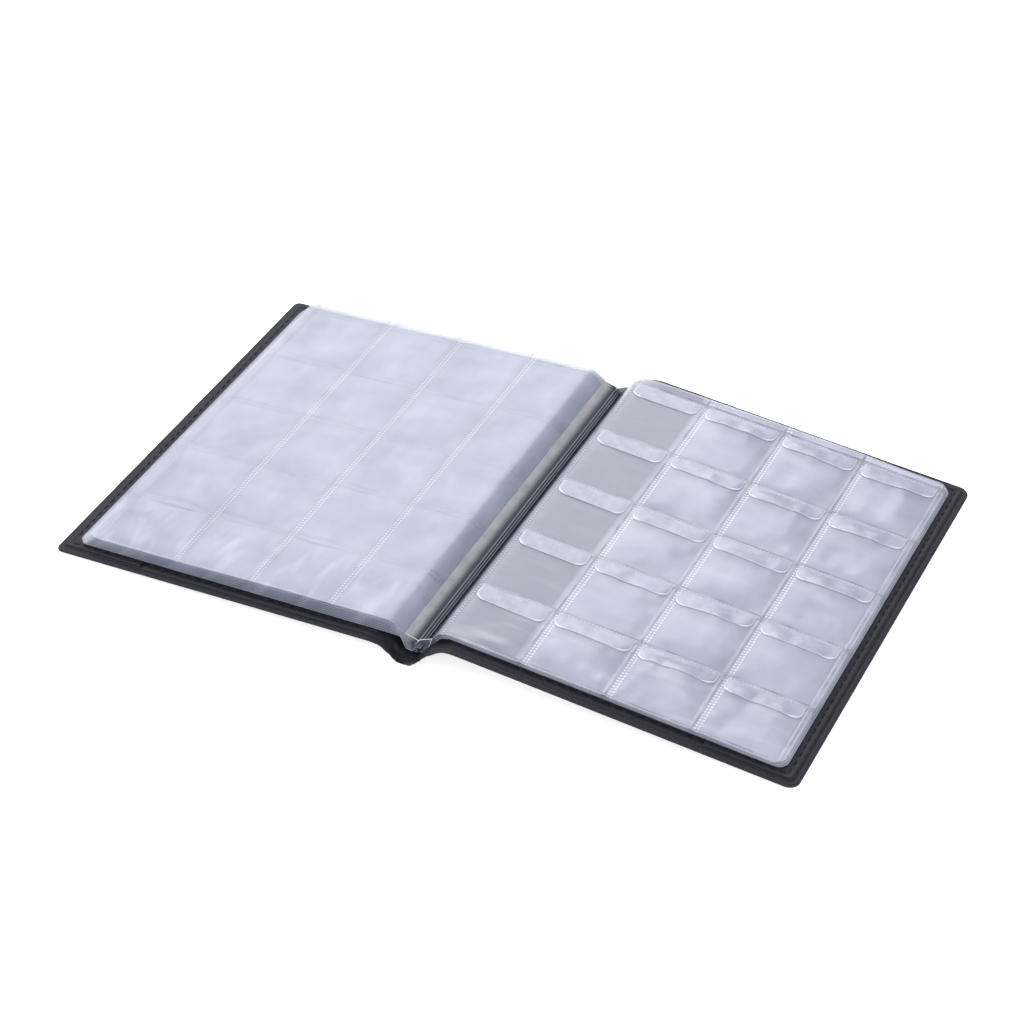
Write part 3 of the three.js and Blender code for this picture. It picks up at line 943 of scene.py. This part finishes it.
# The gussets' panes, by their corners in the cross-section and how far in from the leaves' edge they stand
GUSSET_PANES = (
    (((-7.6, 12.2), (-3.4, 2.9), (-0.4, 2.6), (2.6, 9.4)), 0.7),
    (((2.6, 9.4), (-0.2, 2.5), (5.8, 3.8), (8.2, 12.0)), 1.3),
)
GUSSET_BULGE = 0.7


def add_gussets(materials):
    """The margins' ends, seen from the album's near and far edges: two panes that meet over the bead."""
    for name, y, way in (("near", LEAF_BOTTOM, 1), ("far", LEAF_TOP, -1)):
        panes = [pane_parts(corners, y + way * inset, GUSSET_BULGE * way) for corners, inset in GUSSET_PANES]
        gusset = make_mesh(f"{name}_gutter_gusset", *gathered(panes), materials["gusset"])
        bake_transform(gusset)


FOOT_CURVE = ((2.6, 4.4), (3.4, 3.6), (4.6, 4.0), (5.4, 5.6))
FOOT_HALF_THICK = 0.15


def add_binding(materials):
    """The welded bead that holds the leaves, and the foot of the right leaves' margins beside it."""
    low, high = box_mm("binding_strip")
    across = spaced([low[1], low[1] + 0.4, high[1] - 0.4, high[1]], 3)
    middle = (low[0] + high[0]) / 2
    line = Line([[middle, low[2]], [middle, high[2]]], RIGHT)
    tall = high[2] - low[2]
    along = spaced([0, 0.2, 0.6, tall - 0.6, tall - 0.2, tall], 0.9)
    thick = (high[0] - low[0]) / 2
    pinch = lambda p: np.sqrt(np.clip(1 - (2 * p / tall - 1) ** 6, 0.02, 1))
    wave = lambda p, y: 0.12 * noise(p, y, 7, 91)
    top = lambda p, y: thick * 0.9 * pinch(p) + wave(p, y)
    bottom = lambda p, y: -thick * 0.9 * pinch(p) + wave(p, y)
    bead = shell("binding_bead", line, along, across, top, bottom, materials["web"])
    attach(bead, "spine")
    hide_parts("binding_strip")
    foot = Line(bezier(FOOT_CURVE), RIGHT)
    along = spaced([0, 0.3, foot.at[-1] - 0.3, foot.at[-1]], 0.7)
    upper = lambda p, y: np.full(p.shape, FOOT_HALF_THICK)
    lower = lambda p, y: np.full(p.shape, -FOOT_HALF_THICK)
    strip = shell("right_margin_foot", foot, along, across, upper, lower, materials["web"])
    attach(strip, "spine")
    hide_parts("right_leaf_margins")


# ---------------------------------------------------------------- covers


# The back leg of the spine's fold, from the bottom of the V over its bend
BACK_LEG_START, BACK_LEG_BEND = np.array([1.9, 0.3]), np.array([8.6, 8.6])
FLAT_STEPS = 60


def back_leg(t, end):
    """Points of the curve from the bottom of the V to an end."""
    return t * t * end + 2 * t * (1 - t) * BACK_LEG_BEND + (1 - t) ** 2 * BACK_LEG_START


def hinge_of(joint):
    """A hinge's X and Z in millimetres."""
    found = next(j for j in frame["joints"] if j["name"] == joint)
    return np.array(found["pos_m"])[[0, 2]] / MM


def cover_facts(side):
    """The cover's hinge and fore-edge on its outside, and its width between them."""
    low, high = box_mm(f"{side}_cover_skin")
    sign = LEFT if side == "front" else RIGHT
    hinge = hinge_of(f"{side}_cover_hinge") - [0, 0.2]
    fore = np.array([low[0] if side == "front" else high[0], 0.0])
    fore[0] -= sign * 0.05
    width = np.linalg.norm(fore - hinge)
    return sign, hinge, fore, width


def cover_line(side):
    """The album's outside from a cover's fore-edge, over its hinge and down its side of the spine."""
    sign, hinge, fore, width = cover_facts(side)
    flat = fore + (hinge - fore) * np.linspace(0, 1, FLAT_STEPS)[:-2, None]
    if side == "front":
        spine = bezier([hinge + [0.3, 0], hinge + [5.3, 0], (-7.5, 0), (-3, 0)], 30)
        curve = np.concatenate([spine, [(-2, 0), (-1, 0)]])
    else:
        curve = back_leg(np.linspace(1, 0.12, 30)[:, None], hinge - [0.3, 0])
    points = np.concatenate([flat, curve])
    first, last = FLAT_STEPS - 3, FLAT_STEPS + 3
    for _ in range(3):
        inner = points[first:last].copy()
        points[first:last] = (points[first - 1:last - 1] + 2 * inner + points[first + 1:last + 1]) / 4
    return Line(points, -sign), width


def cover_drift(side, p, y):
    """The cover's slight waves, all upward, so that it stays on the table."""
    return 0.06 * (1 + noise(p, y, 38, 21 if side == "front" else 22)) * smoothstep(150, 120, p)


def seam_pucker(d, along):
    """Dents at the needle holes of the seam, and the lining drawn up between them."""
    return ridge(d, SEAM_INSET, 0.55) * (0.34 + 0.12 * np.cos(2 * np.pi * along / STITCH_PITCH))


# The turned hem's edge: its distance from the cover's edge, and the step and the groove there
HEM_EDGE = 2.6
HEM_STEP = 0.3
HEM_GROOVE = 0.4
EDGE_RADIUS = 1.1
EDGE_MIDDLE = 0.42


def cover_faces(side, width):
    """Height functions of the cover's inner and outer face over its outside."""
    half = COVER_HEIGHT / 2
    radius = COVER_CORNER[side]

    def shared(p, y):
        """Distance from the edge, share of the board's stiffness, thickness, and place along the seam."""
        d = edge_distance(p, y, half, radius)
        stiff = smoothstep(width + 1.5, width - 3, p)
        thick = SPINE_THICK + (COVER_THICK - SPINE_THICK) * stiff
        along = np.where(np.abs(y) > half - 8, p, y)
        return d, stiff, thick, along

    def crumple(p, y):
        """The soft spine's folds, strong at its ends."""
        ends = smoothstep(half - 16, half - 1, np.abs(y)) * smoothstep(width + 3, width + 9, p)
        slack = smoothstep(width + 1, width + 6, p)
        return ends * noise(p, y, 2.4, 33) + slack * 0.2 * noise(p * 2, y * 0.5, 4, 34)

    def top(p, y):
        d, stiff, thick, along = shared(p, y)
        hem = HEM_STEP * smoothstep(HEM_EDGE + 0.3, HEM_EDGE - 0.4, d) + HEM_GROOVE * ridge(d, HEM_EDGE, 0.3)
        hem += seam_pucker(d, along) + 0.1 * noise(p, y, 3.0, 35) * smoothstep(8, 3, d)
        for place, deep in HEM_NOTCHES:
            hem += deep * ridge(p, place, 0.45) * smoothstep(9, 7, d)
        middle = EDGE_MIDDLE * thick
        raised = (thick - hem * stiff - middle) * rounded(d, EDGE_RADIUS)
        return middle + raised + cover_drift(side, p, y) + crumple(p, y)

    def bottom(p, y):
        d, stiff, thick, along = shared(p, y)
        lowered = EDGE_MIDDLE * thick * (1 - rounded(d, EDGE_RADIUS))
        dents = seam_pucker(d, along) * stiff * 0.7
        return lowered + dents + cover_drift(side, p, y) * 0.5 + np.maximum(crumple(p, y), 0)

    return top, bottom


# Grid lines close to the cover's edge, as distance in from it, and the spacings beyond
EDGE_GRID = (0, 0.12, 0.35, 0.7, 1.1, 1.6, 2.1, 2.4, 2.65, 2.9, 3.4, 4, 4.6, 4.9, 5.2, 5.5, 5.8, 6.4, 7.2, 8)
ALONG_STEP, ACROSS_STEP, SPINE_STEP = 3.3, 1.65, 0.8


def cover_grid(line, width):
    """Distances from the fore-edge and positions across the cover for its mesh."""
    half = COVER_HEIGHT / 2
    end = line.at[-1]
    notched = [place + off for place, _ in HEM_NOTCHES for off in (-1.1, -0.5, 0, 0.5, 1.1)]
    along = spaced([*EDGE_GRID, *notched, width - 6, width + 1, end - 0.3, end], ALONG_STEP)
    dense = spaced([width - 6, end - 0.3], SPINE_STEP)
    along = np.unique(np.round(np.concatenate([along, dense]), 4))
    across = spaced([side * (half - c) for c in EDGE_GRID for side in (-1, 1)], ACROSS_STEP)
    return along, across


# Half the width of the fold between a cover and the spine
HINGE_REACH = 4.2


def add_cover(side, materials):
    """A cover's leather with its half of the spine, its sleeve and its seam."""
    line, width = cover_line(side)
    top, bottom = cover_faces(side, width)
    along, across = cover_grid(line, width)
    squeeze = round_corners(lambda p: p, COVER_HEIGHT / 2, COVER_CORNER[side])
    cover = shell(f"{side}_cover_leather", line, along, across, top, bottom, materials["leather"], squeeze)
    sign, hinge, _, _ = cover_facts(side)
    start, end = across_album(hinge[0] - sign * HINGE_REACH), across_album(hinge[0] + sign * HINGE_REACH)
    if side == "front":
        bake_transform(cover)
        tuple(start)
        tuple(end)
        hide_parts("front_cover_skin", "front_lining", "spine_skin", "spine_lining")
    else:
        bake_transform(cover)
        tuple(start)
        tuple(end)
        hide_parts("back_cover_skin", "back_lining", "spine_fold_skin", "spine_fold_lining")
    add_sleeve(side, line, top, materials)
    add_stitches(side, line, width, top, bottom, materials)


# The sleeve: its inset from the cover's edge, its thickness, and the grid lines at its rim and open edge
SLEEVE_INSET = 2.9
SLEEVE_THICK = 0.62
SLEEVE_CORNER = 1.5
SLEEVE_RIM = (0, 0.15, 0.4, 0.8, 1.4, 2.0, 2.3, 2.6, 3.2)
SLEEVE_LIP = (0, 0.2, 0.6, 1.2, 2.4, 2.7, 3.0)


def add_sleeve(side, line, top, materials):
    """The band along the fore-edge that takes the end sheet, with a turned hem at its open side."""
    half = COVER_HEIGHT / 2 - SLEEVE_INSET
    stops = [SLEEVE_INSET + c for c in SLEEVE_RIM] + [SLEEVE_WIDTH - c for c in SLEEVE_LIP]
    along = spaced(stops, ALONG_STEP)
    across = spaced([s * (half - c) for c in SLEEVE_RIM for s in (-1, 1)], ACROSS_STEP)

    def raised(p, y):
        d = edge_distance(p - SLEEVE_INSET, y, half, SLEEVE_CORNER)
        from_lip = SLEEVE_WIDTH - p
        hem = 0.12 * smoothstep(3.1, 2.5, from_lip)
        dent = 0.2 * ridge(d + SLEEVE_INSET, SEAM_INSET, 0.5) + 0.12 * ridge(from_lip, 2.7, 0.3)
        return rounded(d, 0.5) * rounded(from_lip, 0.6) * (SLEEVE_THICK + hem - dent)

    lining = lambda p, y: np.maximum(top(p, y), COVER_THICK + cover_drift(side, p, y) - 0.1)
    upper = lambda p, y: lining(p, y) + raised(p, y)
    lower = lambda p, y: lining(p, y) - 0.1
    sleeve = shell(f"{side}_sleeve_band", line, along, across, upper, lower, materials["leather"])
    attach(sleeve, f"{side}_cover")
    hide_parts(f"{side}_sleeve")


# A stitch's half length, half width and half height, and how far it lies over each face
STITCH_LONG, STITCH_WIDE, STITCH_TALL = 1.8, 0.36, 0.26
STITCH_OVER = {"sleeve": 0.64, "lining": 0.14, "outside": -0.04}


def stitch_template():
    """A short thread, thick in the middle and diving at both ends, along X from -1 to 1."""
    rings, around = 7, 6
    points, faces = [], []
    for i in range(rings):
        t = 2 * i / (rings - 1) - 1
        size = math.sqrt(max(1 - t ** 4, 0.04))
        for k in range(around):
            angle = 2 * math.pi * k / around
            points.append((t, math.cos(angle) * size, math.sin(angle) * size - 0.9 * t ** 4))
    for i in range(rings - 1):
        for k in range(around):
            a, b = i * around + k, i * around + (k + 1) % around
            faces.append((a, b, b + around, a + around))
    return np.array(points), np.array(faces)


def seam_stops(width):
    """Centre, direction and length of each stitch, as distance from the fore-edge and Y."""
    half = COVER_HEIGHT / 2 - SEAM_INSET
    stops = []
    for y in (-half, half):
        for p in np.arange(SEAM_INSET + STITCH_PITCH / 2, width - 7, STITCH_PITCH):
            stops.append((p, y, 1, 0))
    count = int(round(2 * half / STITCH_PITCH))
    for k in range(count):
        stops.append((SEAM_INSET, -half + (k + 0.5) * 2 * half / count, 0, 1))
    return stops


def add_stitches(side, line, width, top, bottom, materials):
    """The lock-stitch seam, on the inner and the outer face."""
    template, faces = stitch_template()
    tp, tw, th = template.T
    parts = []
    for p, y, along_p, along_y in seam_stops(width):
        for face, sign in ((top, 1), (bottom, -1)):
            slant = RNG.uniform(-0.12, 0.12)
            aside = STITCH_WIDE * tw + slant * tp
            q = p + STITCH_LONG * tp * along_p + aside * along_y
            w = y + STITCH_LONG * tp * along_y + aside * along_p
            inside = "sleeve" if p < SLEEVE_WIDTH else "lining"
            over = STITCH_OVER[inside if sign > 0 else "outside"]
            base = face(np.full(len(q), float(p)), np.full(len(q), float(y))) + over
            x, z = line.place(q, base + sign * STITCH_TALL * th)
            parts.append((np.stack([x, w, z], 1), faces, np.stack([q, w], 1)))
    thread = make_mesh(f"{side}_stitches", *gathered(parts), materials["thread"])
    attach(thread, f"{side}_cover")
    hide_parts(f"{side}_seam_thread")


# The flat at the bottom of the V, and where its back leg ends, as in the CAD
V_FLAT = ((-1.6, 0), (-0.5, 0), (0.5, 0), (1.2, 0.05))
BACK_LEG_END = np.array([16.7, 13.0])


def add_spine_bottom(materials):
    """The fold at the bottom of the V, where the spine's two legs meet."""
    rise = back_leg(np.linspace(0, 0.16, 10)[:, None], BACK_LEG_END)
    line = Line(np.concatenate([V_FLAT, rise]), RIGHT)
    half = COVER_HEIGHT / 2
    along = spaced([0, 0.2, line.at[-1] - 0.2, line.at[-1]], 0.6)
    across = spaced([s * (half - c) for c in (0, 0.15, 0.6) for s in (-1, 1)], 1.2)

    def crease(p, y):
        ends = smoothstep(half - 14, half, np.abs(y))
        return ends * 0.8 * noise(p, y, 2.2, 55) + 0.12 * noise(p, y * 0.4, 3, 56)

    top = lambda p, y: SPINE_THICK * 0.96 + crease(p, y)
    bottom = lambda p, y: 0.02 + np.maximum(crease(p, y), 0) * 0.5
    fold = shell("spine_bottom_leather", line, along, across, top, bottom, materials["leather"])
    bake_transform(fold)


# ---------------------------------------------------------------- stage


FLOOR_SIZE = 12
FLOOR_BELOW = 0.0003
SKY_COLOUR = (0.97, 0.98, 1.0, 1)
SKY_STRENGTH = 0.82

# Softboxes by name, place, size and power, in metres and watts
LIGHTS = (
    ("far_softbox", (-0.75, 1.5, 1.25), 1.3, 20),
    ("front_fill", (0.9, -1.3, 1.6), 1.8, 12),
    ("left_key", (-1.4, -0.1, 1.2), 0.9, 14),
)

# The camera's place, its direction in degrees round from +Y and down, and its lens
CAMERA_PLACE = (0.4042, -0.8380, 0.7361)
CAMERA_TURN, CAMERA_DROP = 25.93, 38.15
CAMERA_SENSOR, CAMERA_LENS = 36, 98.55
CAMERA_CLIP = (0.05, 50)


def add_stage():
    """A plain floor, a pale sky and three softboxes."""
    bpy.ops.mesh.primitive_plane_add(size=FLOOR_SIZE)
    floor = bpy.context.object
    floor.name = "floor"
    floor.location.z = -FLOOR_BELOW
    floor.data.materials.append(floor_material())
    world = bpy.data.worlds.new("studio")
    bpy.context.scene.world = world
    world.use_nodes = True
    background = world.node_tree.nodes["Background"]
    fill(world.node_tree, background, {"Color": SKY_COLOUR, "Strength": SKY_STRENGTH})
    for name, place, size, power in LIGHTS:
        data = bpy.data.lights.new(name, "AREA")
        data.size = size
        data.energy = power
        light = bpy.data.objects.new(name, data)
        light.location = place
        light.rotation_euler = (-Vector(place)).to_track_quat("-Z", "Y").to_euler()
        bpy.context.scene.collection.objects.link(light)


def add_camera():
    """The camera, over the album's near right corner."""
    data = bpy.data.cameras.new("camera")
    data.sensor_width = CAMERA_SENSOR
    data.lens = CAMERA_LENS
    data.clip_start, data.clip_end = CAMERA_CLIP
    camera = bpy.data.objects.new("camera", data)
    turn, drop = math.radians(CAMERA_TURN), math.radians(CAMERA_DROP)
    camera.location = CAMERA_PLACE
    look = Vector((-math.sin(turn) * math.cos(drop), math.cos(turn) * math.cos(drop), -math.sin(drop)))
    camera.rotation_euler = look.to_track_quat("-Z", "Y").to_euler()
    bpy.context.scene.collection.objects.link(camera)
    bpy.context.scene.camera = camera
    bpy.context.scene.view_settings.view_transform = "Standard"


def dress_cad_nodes(materials):
    """Procedural materials for the CAD nodes that stay: the boards and the end sheets."""
    chosen = {
        "front_board": "board", "back_board": "board",
        "front_end_sheet": "end_sheet", "back_end_sheet": "end_sheet",
    }
    for name, key in chosen.items():
        node = frame["nodes"][name]
        node.data.materials.clear()
        node.data.materials.append(materials[key])


def end_sheet_material():
    """Stiff clear vinyl."""
    material, tree, shader = new_material("end_sheet_vinyl")
    where = object_position(tree)
    slow = noise_texture(tree, where, 24, 3, 0.55)
    fine = noise_texture(tree, where, 9, 1, 0.5)
    colour = colour_between(tree, slow, (0.40, 0.42, 0.49), (0.52, 0.54, 0.60))
    fill(tree, shader, {"Base Color": colour, "Roughness": 0.35, "Alpha": 0.42})
    bump(tree, shader, fine, 0.1)
    return material


def main():
    materials = {
        "left_top_film": leaf_film("left_top_pocket_film", LEFT, 0.6),
        "right_top_film": leaf_film("right_top_pocket_film", RIGHT, 1.0),
        "left_film": leaf_film("left_pocket_film", LEFT, 0.2),
        "right_film": leaf_film("right_pocket_film", RIGHT, 0.2),
        "flap": edged_film("tuck_flap_film", FILM_SOLID, 0.1, film_colours(FILM_LOOKS[RIGHT][0])),
        "gusset": edged_film("gusset_film", 0.75, 0.1, FILM_SMOKE),
        "web": margin_film("margin_film"),
        "leather": leatherette("black_leatherette"),
        "thread": thread_material(),
        "board": board_material(),
        "end_sheet": end_sheet_material(),
    }
    add_camera()
    add_stage()
    dress_cad_nodes(materials)
    for side in ("front", "back"):
        add_cover(side, materials)
    add_spine_bottom(materials)
    add_binding(materials)
    add_web(materials)
    add_gussets(materials)
    for number in (*LEFT_LEAVES, *RIGHT_LEAVES):
        add_leaf(number, materials)


main()
